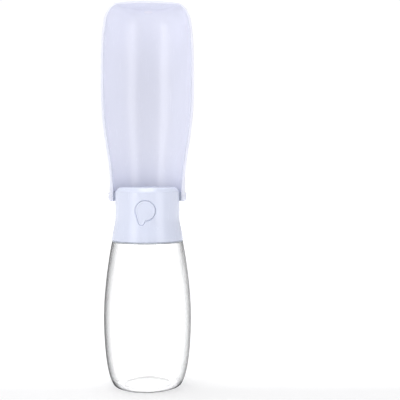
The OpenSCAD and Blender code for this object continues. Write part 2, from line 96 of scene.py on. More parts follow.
# %% A web of nodes, for a finish, for a shape or for the surroundings
class Web:
    def __init__(self, tree):
        self.tree = tree

    def node(self, kind, settings=None, sockets=None, out=0):
        made = self.tree.nodes.new(kind)
        for key, value in (settings or {}).items():
            if key == "stops":
                ramp = made.color_ramp
                while len(ramp.elements) < len(value):
                    ramp.elements.new(0.5)
                for element, (at, colour) in zip(ramp.elements, value):
                    element.position, element.color = at, (*colour, 1)
            else:
                setattr(made, key, value)
        for key, value in (sockets or {}).items():
            self.plug(made.inputs[key], value)
        return Wire(self, made.outputs[out])

    def plug(self, socket, value):
        if isinstance(value, Wire):
            self.tree.links.new(value.socket, socket)
        else:
            socket.default_value = value

    def clamp(self, value, low=0.0, high=1.0):
        return self.node("ShaderNodeClamp", None, {"Value": value, "Min": low, "Max": high})

    def dot(self, vector, direction):
        """How far a vector reaches in a direction."""
        return self.node("ShaderNodeVectorMath", {"operation": "DOT_PRODUCT"},
            {0: vector, 1: direction}, "Value")

    def ray(self, kind):
        """1 for rays of this kind, 0 for all others."""
        return self.node("ShaderNodeLightPath", out=f"Is {kind} Ray")

# %% A finish under construction
class Finish(Web):
    def __init__(self, name, **constants):
        self.material = bpy.data.materials.new(name)
        self.material.use_nodes = True
        super().__init__(self.material.node_tree)
        self.shader = self.tree.nodes["Principled BSDF"]
        self.place = self.node("ShaderNodeTexCoord", out="Object")
        self.give(**constants)

    def give(self, **sockets):
        for key, value in sockets.items():
            self.plug(self.shader.inputs[key.replace("_", " ")], value)

    def grain(self, scale, detail=3, stretch=(1, 1, 1), distortion=0.0):
        place = self.place
        if stretch != (1, 1, 1):
            place = self.node("ShaderNodeMapping", None, {"Vector": place, "Scale": stretch}, "Vector")
        return self.node("ShaderNodeTexNoise", None, {"Vector": place, "Scale": scale, "Detail": detail,
            "Distortion": distortion}, "Fac")

    def blend(self, mask, low, high):
        return self.node("ShaderNodeMix", {"data_type": "RGBA"}, {0: mask, 6: (*low, 1), 7: (*high, 1)}, 2)

    def bump(self, height, strength, depth):
        return self.node("ShaderNodeBump", None,
            {"Height": height, "Strength": strength, "Distance": depth}, "Normal")

    def between(self, value, low, high):
        """0 up to low, 1 from high on, and a straight climb between them."""
        return self.node("ShaderNodeMapRange", {"clamp": True},
            {"Value": value, "From Min": low, "From Max": high}, "Result")

    def ramp(self, value, stops):
        return self.node("ShaderNodeValToRGB", {"stops": stops}, {"Fac": value}, "Color")

    def mix(self, share, first, second):
        return self.node("ShaderNodeMixShader", None, {0: share, 1: first, 2: second})

# %% [markdown]
# ## Moulded plastics
# The head and the trough are injection moulded in one cool, faintly lavender white, but
# they get two copies of it: the trough's is painted lighter than the head's, standing in
# for light inside its hollow. A polished mould leaves a gloss with a barely visible swell,
# like orange peel, and handling leaves hairline scratches that only show in the highlight.
# Both are in the bump and the roughness, because the pigment itself runs evenly through the
# plastic; only a faint flow pattern shifts its shade.

# %% Gloss plastic for the head and the trough
def gloss_plastic(name, light, deep, gloss):
    finish = Finish(name, IOR=1.49)
    flow = finish.grain(14, 2, (1, 1, 0.35), 0.6)
    swell = finish.grain(260, 2)
    hairline = finish.between(finish.grain(900, 2, (1, 1, 0.04)), 0.62, 0.7)
    dust = finish.grain(45, 5)
    finish.give(Base_Color=finish.blend(finish.between(flow, 0.35, 0.65), deep, light),
        Roughness=gloss + 0.06 * dust + 0.08 * hairline,
        Normal=finish.bump(swell - 0.3 * hairline, 0.12, 0.0004))
    return finish.material

# Two copies of one plastic: the trough's is painted lighter than the head's, standing in for light inside
# its hollow.
head_plastic_darker_copy = gloss_plastic("gloss plastic, head", (0.752, 0.790, 0.935), (0.736, 0.775, 0.922), 0.2)
trough_plastic_lighter_copy = gloss_plastic("gloss plastic, trough", (0.845, 0.855, 0.950), (0.828, 0.840, 0.942), 0.18)
print("plastics:", head_plastic_darker_copy.name, "|", trough_plastic_lighter_copy.name)

# %% Matt plastic for what sits inside
def matt_plastic():
    finish = Finish("matt plastic", IOR=1.49)
    spark = finish.grain(1500, 2)
    finish.give(Base_Color=finish.blend(finish.grain(20, 3), (0.80, 0.82, 0.88), (0.86, 0.87, 0.92)),
        Roughness=0.42 + 0.12 * finish.grain(60, 4), Normal=finish.bump(spark, 0.25, 0.0002))
    return finish.material

inner_plastic = matt_plastic()
print("inner plastic:", inner_plastic.name)

# %% [markdown]
# ## Clear plastic, silicone and steel
# The bottle is a clear copolyester. Seen square on it all but vanishes; seen along its
# wall it turns grey. In a studio that is white all round, refraction alone would leave the
# edges white, so the grey is painted. The glass is tinted by the angle of view, a little
# for the longer way through the wall and mostly as painted edge shade, and where the eye
# first meets the wall a dark painted shade is mixed in by the same angle. This painted
# shade leaves out level faces, such as the foot, and is painted thinner on the right, so
# that edge is lighter. Two bands are painted the same from every side: a pale painted light
# on the shoulder under the head, and a dark painted contact shadow, with a noisy edge, low
# on the ring that the bottle stands on. Shadow rays lose only a little at each face, so the
# bottle's shadow stays pale.

# %% Clear plastic for the bottle
# Painted edge shade: the glass darkens towards grazing views, a little for the longer way through the wall
# and mostly as painted shade.
GLASS_TINT_AND_EDGE_SHADE = [(0.0, (1, 1, 1)), (0.3, (0.975, 0.975, 0.977)), (0.42, (0.88, 0.882, 0.886)),
    (0.56, (0.74, 0.743, 0.75)), (0.85, (0.5, 0.503, 0.51))]
# The share of dark painted edge shade, by the angle of view.
PAINTED_EDGE_SHADE_SHARE = [(0.15, 0), (0.33, 0.08), (0.45, 0.2), (0.57, 0.36), (0.68, 0.57), (0.77, 0.84)]
# The colour of the dark painted shade, and of the pale painted light on the shoulder.
PAINTED_SHADE_DARK, PAINTED_SHOULDER_LIGHT = (0.10, 0.101, 0.104), (0.62, 0.66, 0.72)
LEVEL, RISING = (0.983, 0.996), (0.4, 0.85)  # of the normal's rise
# Heights of the painted contact shadow and of the painted shoulder light, and the span where the painted
# edge shade thins to the right.
CONTACT_SHADOW_HEIGHTS, SHOULDER_LIGHT_HEIGHTS, PAINTED_LIGHTER_RIGHT = (0.0004, 0.0075), (0.1308, 0.1317), (0.0, 0.03)  # places, in metres

def clear_plastic():
    finish = Finish("clear plastic", IOR=1.46, Transmission_Weight=1)
    ripple = finish.grain(30, 1, (1, 1, 0.4))
    slant = finish.node("ShaderNodeLayerWeight", None, {"Blend": 0.5}, "Facing")
    # The tint by the angle of view is partly painted edge shade.
    finish.give(Base_Color=finish.ramp(slant, GLASS_TINT_AND_EDGE_SHADE), Normal=finish.bump(ripple, 0.05, 0.0006),
        Roughness=0.01 + 0.01 * finish.grain(80, 4))
    across, height = finish.dot(finish.place, (1, 0, 0)), finish.dot(finish.place, (0, 0, 1))
    rise = finish.dot(finish.node("ShaderNodeNewGeometry", out="Normal"), (0, 0, 1))
    level = finish.between(finish.node("ShaderNodeMath", {"operation": "ABSOLUTE"}, {0: rise}), *LEVEL)
    upright = (1 - level) * (1 - 0.75 * finish.between(rise, *RISING))
    # The painted edge shade thins towards the right, painting that edge lighter.
    upright = upright * (1 - 0.22 * finish.between(across, *PAINTED_LIGHTER_RIGHT))
    # A painted contact shadow: the dark painted shade grows towards the floor, with a noisy edge.
    painted_contact_shadow = (1 - finish.between(height, *CONTACT_SHADOW_HEIGHTS)) * (0.42 + 0.16 * finish.grain(400, 3))
    # shoulder is the mask of the pale painted light on the shoulder under the head.
    shoulder = finish.between(height, *SHOULDER_LIGHT_HEIGHTS)
    # depth is the share of dark painted edge shade, by the angle of view.
    depth = finish.ramp(slant, [(at, (share,) * 3) for at, share in PAINTED_EDGE_SHADE_SHARE])
    # The painted shade and light, mixed in for camera rays only: dark at the edges and low on the foot,
    # pale on the shoulder.
    painted_shade_and_light = finish.node("ShaderNodeBsdfPrincipled", None, {"Roughness": 0.9, "Specular IOR Level": 0.0,
        "Base Color": finish.blend(shoulder, PAINTED_SHADE_DARK, PAINTED_SHOULDER_LIGHT)})
    with_painted_shade = finish.mix(finish.clamp(depth * upright + painted_contact_shadow + 0.9 * shoulder) * finish.ray("Camera"),
        Wire(finish, finish.shader.outputs[0]), painted_shade_and_light)
    passing = finish.node("ShaderNodeBsdfTransparent", None, {"Color": (0.78, 0.78, 0.79, 1)})
    surface = finish.tree.nodes["Material Output"].inputs["Surface"]
    finish.plug(surface, finish.mix(finish.ray("Shadow"), with_painted_shade, passing))
    return finish.material

bottle_plastic = clear_plastic()
print("bottle:", bottle_plastic.name)

# %% Silicone for the seals
def seal_silicone():
    finish = Finish("silicone", IOR=1.41)
    bloom = finish.grain(120, 4)
    # Its dark blue-grey is painted shade: where the hinge washers show in the gap between ear and head,
    # they stand in for the shade there.
    finish.give(Base_Color=finish.blend(bloom, (0.36, 0.39, 0.48), (0.43, 0.46, 0.55)),
        Roughness=0.5 + 0.2 * bloom, Normal=finish.bump(finish.grain(2200, 2), 0.2, 0.0001))
    return finish.material

silicone = seal_silicone()
print("seals:", silicone.name)

# %% Stainless steel for springs, screws and pins
def drawn_steel():
    finish = Finish("stainless steel", Metallic=1.0, IOR=2.5)
    drawn = finish.grain(500, 3, (1, 1, 0.08))
    finish.give(Base_Color=finish.blend(finish.grain(90, 3), (0.56, 0.57, 0.59), (0.68, 0.69, 0.71)),
        Roughness=0.2 + 0.18 * drawn, Normal=finish.bump(drawn, 0.15, 0.00005))
    return finish.material

steel = drawn_steel()
print("steel:", steel.name)

# %% [markdown]
# ## Shaping helpers
# Most of the pieces are bodies of revolution, as blow moulding and injection moulding make
# them. Their outlines are drawn in millimetres with cubic curves, and a small class gathers
# the points and faces row by row. Laying rows and bridging them, rather than cutting with
# booleans, keeps the faces even, so that highlights run smoothly. The edges of a moulding
# are never sharp, so a piece can ask for a narrow bevel.

# %% Outlines
def bend(a, b, c, d, n=8):
    """A cubic curve from a to d with the handles b and c."""
    path = []
    for i in range(n + 1):
        t = i / n
        u = 1 - t
        shares = u**3, 3 * u * u * t, 3 * u * t * t, t**3
        path.append(tuple(sum(share * p[k] for share, p in zip(shares, (a, b, c, d))) for k in (0, 1)))
    return path

def inset(path, width):
    """The path moved to the left of its direction."""
    moved = []
    for i, (r, z) in enumerate(path):
        a, b = path[max(i - 1, 0)], path[min(i + 1, len(path) - 1)]
        length = math.dist(a, b)
        moved.append((r - width * (b[1] - a[1]) / length, z + width * (b[0] - a[0]) / length))
    return moved

def soften(loop, radius, steps=3, keep=25):
    """Rounds the corners of a closed outline that turn by more than keep degrees."""
    path = []
    for i, corner in enumerate(loop):
        p = Vector(corner)
        a, b = Vector(loop[i - 1]) - p, Vector(loop[(i + 1) % len(loop)]) - p
        if corner[0] < 0.01 or 180 - math.degrees(a.angle(b)) < keep:
            path.append(corner)
            continue
        cut = min(radius, 0.45 * a.length, 0.45 * b.length)
        start, end = p + a.normalized() * cut, p + b.normalized() * cut
        for k in range(steps + 1):
            t = k / steps
            path.append(tuple(start * (1 - t)**2 + p * 2 * t * (1 - t) + end * t * t))
    return path

quarter = bend((1, 0), (1, 0.5523), (0.5523, 1), (0, 1))
astray = max(abs(math.hypot(*point) - 1) for point in quarter)
print("a quarter turn drawn by bend strays from its circle by", round(astray, 5))

# %% Measures along an outline
def radius_at(path, z):
    """The radius of a path at the height z."""
    for (r0, z0), (r1, z1) in zip(path, path[1:]):
        if min(z0, z1) - 1e-6 <= z <= max(z0, z1) + 1e-6 and z0 != z1:
            return r0 + (r1 - r0) * (z - z0) / (z1 - z0)
    return path[0][0] if z < path[0][1] else path[-1][0]

def height_at(path, r):
    """The height at the radius r of a path that runs in towards the axis."""
    return next(z0 + (z1 - z0) * (r0 - r) / (r0 - r1)
        for (r0, z0), (r1, z1) in zip(path, path[1:]) if r1 <= r <= r0 + 1e-6)

def disc_reach(ray, centre, radius):
    """How far a disc reaches along a ray from the origin, or 0 if the ray misses it."""
    ahead = ray[0] * centre[0] + ray[1] * centre[1]
    aside = centre[0]**2 + centre[1]**2 - ahead**2
    return ahead + math.sqrt(radius**2 - aside) if ahead > 0 and aside < radius**2 else 0

def line_reach(ray, corners):
    """How far a line of corners reaches along a ray from the origin, or 0 if the ray misses it."""
    best = 0
    for (ax, ay), (bx, by) in zip(corners, corners[1:]):
        cross = ray[0] * (by - ay) - ray[1] * (bx - ax)
        if abs(cross) > 1e-9:
            t = (ax * (by - ay) - ay * (bx - ax)) / cross
            s = (ax * ray[1] - ay * ray[0]) / cross
            if t > 0 and 0 <= s <= 1:
                best = max(best, t)
    return best

print("halfway up the quarter turn, the radius is", round(radius_at(quarter, 0.5), 4))

# %% Points round an axis
def around_z(r, z, count):
    """Points round the Z axis, from the front on."""
    turns = [2 * math.pi * k / count for k in range(count)]
    return [(r * math.sin(turn), -r * math.cos(turn), z) for turn in turns]

def circle(centre, radius, count):
    """Points round a centre, in a plane."""
    turns = [2 * math.pi * k / count for k in range(count)]
    return [(centre[0] + radius * math.cos(turn), centre[1] + radius * math.sin(turn)) for turn in turns]

def around_hinge(side, r, x):
    """Points round the hinge's axis at the distance x from the middle, right (1) or left (-1)."""
    return [(side * x, y, z) for y, z in circle((0, HINGE_Z), r, 48)]

# %% Points and faces, row by row
class Clay:
    def __init__(self):
        self.points, self.faces = [], []

    def row(self, points):
        first = len(self.points)
        self.points += points
        return list(range(first, len(self.points)))

    def bridge(self, a, b, closed=True):
        n = len(a)
        for i in range(n if closed else n - 1):
            j = (i + 1) % n
            self.faces.append((a[i], a[j], b[j], b[i]))

    def fan(self, ring, tip):
        tip = self.row([tip])[0]
        for i in range(len(ring)):
            self.faces.append((ring[i], ring[(i + 1) % len(ring)], tip))

    def stack(self, rings, start, end):
        """Bridges closed rings in order, and closes both ends on a point."""
        rows = [self.row(ring) for ring in rings]
        for a, b in zip(rows, rows[1:]):
            self.bridge(a, b)
        self.fan(rows[0], start)
        self.fan(rows[-1], end)

    def tube(self, rings):
        """Bridges closed rings in order, and the last one with the first."""
        rows = [self.row(ring) for ring in rings]
        for a, b in zip(rows, rows[1:] + rows[:1]):
            self.bridge(a, b)

    def turn(self, loop, columns=192):
        """Turns a closed outline of (radius, height) round the Z axis."""
        rows = [self.row([(0, 0, z)]) * columns if r < 1e-4 else self.row(around_z(r, z, columns))
            for r, z in loop]
        for a, b in zip(rows, rows[1:] + rows[:1]):
            if a[0] != a[-1] or b[0] != b[-1]:
                self.bridge(a, b)

    def arc_block(self, half, r_in, r_out, z_low, z_high, steps=12):
        """A block bent round the back of the Z axis, which reaches half to either side."""
        across = [half * (2 * i / steps - 1) for i in range(steps + 1)]
        rows = [self.row([(x, math.sqrt(r * r - x * x), z) for x in across])
            for r, z in ((r_in, z_low), (r_out, z_low), (r_out, z_high), (r_in, z_high))]
        for a, b in zip(rows, rows[1:] + rows[:1]):
            self.bridge(a, b, closed=False)
        self.faces += [tuple(row[0] for row in rows), tuple(row[-1] for row in rows)]

# %% A piece from the clay
def mould(clay, name, material, bevel=0, angle=40, sharp=None):
    """The mesh of a piece: merged, its faces outwards, smooth, with a bevel in millimetres."""
    mesh = bpy.data.meshes.new(name)
    faces = [tuple(dict.fromkeys(face)) for face in clay.faces]
    mesh.from_pydata([tuple(c * MM for c in p) for p in clay.points], [], faces)
    model = bmesh.new()
    model.from_mesh(mesh)
    bmesh.ops.remove_doubles(model, verts=model.verts, dist=1e-7)
    bmesh.ops.recalc_face_normals(model, faces=model.faces)
    for face in model.faces:
        face.smooth = True
    if sharp:
        for edge in model.edges:
            edge.smooth = len(edge.link_faces) != 2 or edge.calc_face_angle() < math.radians(sharp)
    model.to_mesh(mesh)
    open_edges = sum(1 for edge in model.edges if len(edge.link_faces) != 2)
    model.free()
    mesh.materials.append(material)
    made = bpy.data.objects.new(name, mesh)
    scene.collection.objects.link(made)
    if bevel:
        rounded = made.modifiers.new("moulded edges", "BEVEL")
        rounded.width, rounded.segments = bevel * MM, 3
        rounded.limit_method, rounded.angle_limit = "ANGLE", math.radians(angle)
        rounded.harden_normals = True
    print(name, "-", len(mesh.vertices), "points, open edges:", open_edges)
    return made

# %% [markdown]
# ## The sizes
# They repeat the source's named values, in millimetres, because each piece must sit where
# its solid sits. A size that only one piece needs stands with that piece.

# %% Sizes shared by several pieces
BODY_H, BODY_WALL, NECK_R, RIM_Z = 132.5, 1.5, 19.8, 146.8
COLLAR_Z, COLLAR_R, BORE_R, WALL_TOP, DECK_Z = 132.8, 29.3, 27.3, 176.0, 180.2
BUTTON_Z, HINGE_Z, BOSS_R, TROUGH_R = 160.2, 172.0, 3.9, 34.2

# %% [markdown]
# ## The bottle
# A preform is blown into a mould: that gives the soft belly, the rounded corner above a
# standing ring, and the punt, the dome that keeps the middle of the foot off the table,
# with the preform's gate mark at its centre. The outline is turned as one closed loop,
# outside and inside, so that light passes through a real wall.

# %% The bottle's outline
HEEL, BELLY, BROW = (33.9, 7.2), (39.65, 63), (32.2, 131.3)
BEAD_R, MOUTH_R, INNER_TOP = 20.6, 18.4, BODY_H - BODY_WALL
punt = bend((0, 5), (8.8, 5), (17, 1), (22, 0), 24)
corner = bend((27.8, 0), (31.3, 0), (31.5, 1.9), HEEL, 16)
low = bend(HEEL, (37.0, 15.6), (BELLY[0], 36), BELLY, 24)
high = bend(BELLY, (BELLY[0], 87.6), (34.3, 121.9), BROW, 32)
side = punt + corner + low[1:] + high[1:]
shoulder = bend(BROW, (32.2, 132.0), (31.7, BODY_H), (31.0, BODY_H), 5)
neck = [(21.4, BODY_H), (20.2, 132.9), (NECK_R, 133.7), (NECK_R, 134.6), (BEAD_R, 134.9), (BEAD_R, 136.1),
    (NECK_R, 136.4), (NECK_R, RIM_Z)]
inner_neck = [(MOUTH_R, RIM_Z), (MOUTH_R, 132.2), (19.4, INNER_TOP), (29.5, INNER_TOP)]
wall = inset(side, BODY_WALL)
loop = side + shoulder[1:] + neck + inner_neck + wall[:0:-1] + [(0, wall[0][1])]
print("the outline has", len(loop), "points, widest at", max(r for r, z in loop))

# %% Turn it
clay = Clay()
clay.turn(soften(loop, 0.45), 224)
bottle = mould(clay, "clear_bottle_shell", bottle_plastic)
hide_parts("bottle")
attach(bottle, "bottle")

# %% [markdown]
# ## The head
# The head's wall is a tube that flares to the shoulder, with a window for the button. A
# boolean would leave long thin faces round the window. Instead, the rows of the tube stop
# at a rectangle, and rings lead from the rectangle to the window's outline, first across
# the outside, then through the wall, then back across the inside.

# %% The button's outline, as a distance from its centre
PAD_R, TAB, TAB_R = 8.7, (-3.4, -10.3), 2.5

def button_reach(angle, grow=0.0):
    """How far the pad and its thumb tab reach in a direction, seen from the front."""
    ray = math.cos(angle), math.sin(angle)
    web = [(-7.66 - grow, -4.35), (-5.9 - grow, TAB[1]), (-0.8 + grow, TAB[1]), (0.35 + grow, -8.6)]
    return max(PAD_R + grow, disc_reach(ray, TAB, TAB_R + grow), line_reach(ray, web))

print("the button reaches", round(button_reach(0), 2), "to the right and",
    round(button_reach(math.radians(250)), 2), "down its tab")

# %% The head's wall, outside and inside
FLARE_TOP, ROW_H, ROWS, COLUMNS = 152.2, 1.2, 36, 192
flare = bend((32.4, COLLAR_Z), (31.7, 140.95), (29.4, 146.38), (COLLAR_R, FLARE_TOP), 40)
flare += [(COLLAR_R, WALL_TOP)]
flare_in = inset(flare[:-1], 2.0)[:-1] + [(BORE_R, FLARE_TOP), (BORE_R, WALL_TOP)]
levels = [COLLAR_Z + ROW_H * i for i in range(ROWS + 1)]

def wall_point(path, x, z):
    r = radius_at(path, z)
    return (x, -math.sqrt(max(r * r - x * x, 0)), z)

print("the wall has", len(levels), "rows, up to", round(levels[-1], 3))

# %% The window: a rectangle of left-out faces, and the rings that lead into it
WINDOW_HALF, WINDOW_LOW, WINDOW_HIGH = 15, 10, 32  # columns to each side, and rows

def window_ring(path, grow, share, frame_ring):
    """A ring between the window's outline (share 0) and the rectangle round it (share 1)."""
    ring = []
    for x, z in frame_ring:
        angle = math.atan2(z - BUTTON_Z, x)
        reach = button_reach(angle, grow)
        ax, az = reach * math.cos(angle), BUTTON_Z + reach * math.sin(angle)
        ring.append(wall_point(path, ax + (x - ax) * share, az + (z - az) * share))
    return ring

def skin_with_window(path, grow):
    """One skin of the wall: gives its lowest and highest row, the window's ring and the rectangle."""
    rows = [clay.row(around_z(radius_at(path, z), z, COLUMNS)) for z in levels]
    for i, (a, b) in enumerate(zip(rows, rows[1:])):
        for k in range(COLUMNS):
            j = (k + 1) % COLUMNS
            beside = k < WINDOW_HALF or k >= COLUMNS - WINDOW_HALF
            if not (beside and WINDOW_LOW <= i < WINDOW_HIGH):
                clay.faces.append((a[k], a[j], b[j], b[k]))
    span = [k % COLUMNS for k in range(-WINDOW_HALF, WINDOW_HALF + 1)]
    last = [rows[WINDOW_LOW][k] for k in span]
    last += [rows[i][span[-1]] for i in range(WINDOW_LOW + 1, WINDOW_HIGH)]
    last += [rows[WINDOW_HIGH][k] for k in span[::-1]]
    last += [rows[i][span[0]] for i in range(WINDOW_HIGH - 1, WINDOW_LOW, -1)]
    frame_ring = [(clay.points[k][0], clay.points[k][2]) for k in last]
    for share in (0.72, 0.48, 0.28, 0.13, 0.04, 0.0):
        ring = clay.row(window_ring(path, grow, share, frame_ring))
        clay.bridge(last, ring)
        last = ring
    return rows[0], rows[-1], last, frame_ring

clay = Clay()
outer_low, outer_high, edge, frame_ring = skin_with_window(flare, 1.2)
inner_low, inner_high, inner_edge, frame_ring = skin_with_window(flare_in, 0.4)
for depth, grow in ((0.12, 0.78), (0.38, 0.42), (0.9, 0.16), (1.4, 0.16)):
    ring = clay.row(window_ring(inset(flare, depth), grow, 0, frame_ring))
    clay.bridge(edge, ring)
    edge = ring
clay.bridge(edge, inner_edge)
clay.bridge(outer_low, inner_low)
clay.bridge(outer_high, inner_high)
print("the wall with its window:", len(clay.faces), "faces")

# %% The screw posts and hinge bosses inside, the ledge behind and the lip below
POST_AT, POST_LOW, POST_TOP = 24.25, 150.4, 160.4
BOSS_OUT, BOSS_IN = 28.4, 23.9
for angle in (68, 205, 335):
    turn = math.radians(angle)
    post = POST_AT * math.cos(turn), POST_AT * math.sin(turn)
    rings = [[(x, y, z) for x, y in circle(post, r, 32)] for r, z in ((1.0, POST_LOW), (2.0, POST_LOW),
        (2.2, POST_LOW + 0.2), (2.2, POST_TOP - 0.2), (2.0, POST_TOP))]
    clay.stack(rings, (*post, POST_LOW), (*post, POST_TOP))
for side_x in (-1, 1):
    rings = [around_hinge(side_x, r, x)
        for r, x in ((BOSS_R, BOSS_OUT), (BOSS_R, BOSS_IN + 0.3), (BOSS_R - 0.3, BOSS_IN), (2.1, BOSS_IN))]
    clay.stack(rings, (side_x * BOSS_OUT, 0, HINGE_Z), (side_x * BOSS_IN, 0, HINGE_Z))
clay.arc_block(8, 28.3, COLLAR_R + 2.0, 164.2, 167.2)
clay.turn([(30.6, 133.3), (30.6, 132.6), (31.7, 132.6), (31.7, 133.3)])
head = mould(clay, "head_wall", head_plastic_darker_copy, bevel=0.25, angle=50)
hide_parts("collar")
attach(head, "head")

# %% [markdown]
# ## The lanyard's eye
# A small lug stands out of the head's back and carries the cord of a lanyard. It is
# pushed through the wall from inside, where a flange stops it. Its side view is drawn as
# rays from the hole, so that hole and outline get the same number of points.

# %% The lug, from its hole outwards
EYE_Y, EYE_Z, EYE_R, EYE_HOLE_R, EYE_HALF = COLLAR_R + 1.6, DECK_Z - 19.6, 3.2, 1.5, 1.6
EYE_ROOT = 5.0  # from the hole back into the wall
corner_angle = math.atan2(EYE_R, EYE_ROOT)
even = [2 * math.pi * k / 64 for k in range(64)]
angles = sorted(even + [math.pi - corner_angle, math.pi + corner_angle])

def eye_ring(x, radius=None):
    """The hole, where its radius is given, or the outline: round outside, square in the wall."""
    ring = []
    for angle in angles:
        dy, dz = math.cos(angle), math.sin(angle)
        round_end = dy > -1e-6
        reach = radius or (EYE_R if round_end else min(EYE_ROOT / -dy, EYE_R / max(abs(dz), 1e-6)))
        ring.append((x, EYE_Y + reach * dy, EYE_Z + reach * dz))
    return ring

clay = Clay()
clay.tube([eye_ring(-EYE_HALF, EYE_HOLE_R), eye_ring(-EYE_HALF), eye_ring(EYE_HALF),
    eye_ring(EYE_HALF, EYE_HOLE_R)])
clay.arc_block(3.5, 25.9, BORE_R - 0.02, EYE_Z - EYE_R - 1, EYE_Z + EYE_R + 1)
lug = mould(clay, "lanyard_eye", head_plastic_darker_copy, bevel=0.4, angle=50)
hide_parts("lanyard_lug")
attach(lug, "head")

# %% [markdown]
# ## The deck
# The deck is a lid welded onto the end of the wall, so a hairline shows under its bevel.
# It dips to the outlet, where the water comes up.

# %% The deck's outline, turned
FLAT_R, OUTLET_R, DECK_BACK = 25.5, 6.0, DECK_Z - 2.5
bevel_edge = bend((COLLAR_R, WALL_TOP), (28.39, 177.68), (27.02, 179.19), (FLAT_R, DECK_Z), 12)
underside = [(OUTLET_R, DECK_BACK), (FLAT_R, DECK_BACK), (BORE_R, WALL_TOP)]
clay = Clay()
clay.turn(soften(bevel_edge + [(7.4, DECK_Z), (OUTLET_R, 179.9)] + underside, 0.3, keep=32))
deck = mould(clay, "deck_lid", head_plastic_darker_copy)
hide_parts("deck_cover")
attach(deck, "head")

# %% [markdown]
# ## The button
# The button is a round pad with a small thumb tab. A raised rim runs round a shallow dish
# that the thumb finds by touch, and a lip behind the wall keeps the pad from falling out.

# %% The button, ring by ring
LIP_BACK, LIP_FRONT, FACE_R = 26.1, 26.9, COLLAR_R + 0.45

def button_ring(grow, radius, shrink=1.0, count=144):
    ring = []
    for k in range(count):
        angle = 2 * math.pi * k / count
        reach = button_reach(angle, grow) * shrink
        x, z = reach * math.cos(angle), BUTTON_Z + reach * math.sin(angle)
        ring.append((x, -math.sqrt(radius * radius - x * x), z))
    return ring

lip = [(1.4, LIP_BACK, 0.5), (1.4, LIP_BACK), (1.4, LIP_FRONT), (0.04, LIP_FRONT)]
rim = [(grow, FACE_R - drop) for grow, drop in ((0.04, 0.8), (0.0, 0.45), (-0.14, 0.16), (-0.4, 0),
    (-0.9, 0.03), (-1.25, 0.16), (-1.7, 0.34), (-2.3, 0.42))]
dish = [(-2.3, FACE_R - drop, shrink) for drop, shrink in ((0.47, 0.75), (0.5, 0.5), (0.52, 0.25))]
clay = Clay()
clay.stack([button_ring(*step) for step in lip + rim + dish],
    (0, -LIP_BACK, BUTTON_Z), (0, 0.52 - FACE_R, BUTTON_Z))
button = mould(clay, "push_button_pad", head_plastic_darker_copy, sharp=50)
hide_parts("button")
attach(button, "button")

# %% [markdown]
# ## The trough
# Half of a turned shell: a dog drinks from it as from a long ladle. Spun as a half turn,
# all its columns would meet in one point at the middle of the rim's edge, where a bevel
# would tear. So its round end is a half disc laid out as a grid: squares near the middle
# that swell to the arc, with one column for each column of the shell.

# %% The trough's outline, above its hinge
FOOT_GAP, CROWN_WALL, TROUGH_WALL, HALF_W, SWELL_TOP = 3.0, 2.0, 1.9, 42.45, 98
REACH = HINGE_Z + FOOT_GAP + CROWN_WALL + 0.3  # folded down, the crown passes under the foot
TIP, CROWN_R, TOP = (39.25, REACH - 15.5), 27.8, (0, REACH)
TIP_Z, CROWN_Z, FLAT_Z = TIP[1], REACH - 1.5, REACH - 0.95
swell = bend((TROUGH_R, 14), (TROUGH_R, 35), (HALF_W, 57.68), (HALF_W, SWELL_TOP), 28)
UPPER_HANDLE = SWELL_TOP + (TIP_Z - SWELL_TOP) * 0.38
upper = bend((HALF_W, SWELL_TOP), (HALF_W, UPPER_HANDLE), (42.65, TIP_Z - 16), TIP, 20)
tip = bend(TIP, (38.0, TIP_Z + 4.8), (34.2, REACH - 3.3), (CROWN_R, CROWN_Z), 14)
crown = bend((CROWN_R, CROWN_Z), (20.6, REACH - 0.4), (11.12, REACH), TOP, 20)
rising = [(TROUGH_R, z) for z in (1.0, 2.5, 4.5, 7.0, 10.0)]
outside = [(TROUGH_R, z) for z in (-4.5, -1.5, -0.5)] + rising + swell + upper[1:] + tip[1:]
print("the trough reaches", REACH, "from its hinge, and", HALF_W, "to each side")

# %% Its inside, under a crown that is a little flatter
flat_tip = bend(TIP, (38.05, TIP_Z + 5.5), (34.45, REACH - 2.6), (CROWN_R, FLAT_Z), 14)
flat_crown = bend((CROWN_R, FLAT_Z), (19.46, REACH - 0.25), (11.12, REACH), TOP, 20)
inner = inset(rising + swell + upper[1:] + flat_tip[1:] + flat_crown[1:], TROUGH_WALL)
inner_crown = inner[-len(crown):-1] + [(0, inner[-1][1])]
inside = [(30.5, -4.5), (30.5, -1.5), (32.2, -0.5)] + inner[:len(outside) - 3]
print("rows outside and inside:", len(outside), len(inside))

# %% Its two skins, each a half shell and a half disc
QUARTER = 26  # columns in an eighth of a turn

def skin(path, top):
    turns = [math.pi * k / (4 * QUARTER) for k in range(4 * QUARTER + 1)]
    rows = [clay.row([(r * math.cos(turn), r * math.sin(turn), HINGE_Z + z) for turn in turns])
        for r, z in path]
    for a, b in zip(rows, rows[1:]):
        clay.bridge(a, b, closed=False)
    disc = {}
    for j in range(QUARTER + 1):
        for i in range(-QUARTER, QUARTER + 1):
            share = max(abs(i), j) / QUARTER
            if j >= abs(i):
                turn = math.pi / 2 - math.pi / 4 * (i / j if j else 0)
            else:
                turn = math.pi / 4 * j / i if i > 0 else math.pi - math.pi / 4 * j / -i
            if share == 1:
                disc[i, j] = rows[-1][round(turn / math.pi * 4 * QUARTER)]
                continue
            r = share * path[-1][0]
            point = r * math.cos(turn), r * math.sin(turn), HINGE_Z + height_at(top, r)
            disc[i, j] = clay.row([point])[0]
    for j in range(QUARTER):
        for i in range(-QUARTER, QUARTER):
            clay.faces.append((disc[i, j], disc[i + 1, j], disc[i + 1, j + 1], disc[i, j + 1]))
    edge = [row[0] for row in rows] + [disc[i, 0] for i in range(QUARTER - 1, -QUARTER, -1)]
    return rows[0], edge + [row[-1] for row in rows[::-1]]

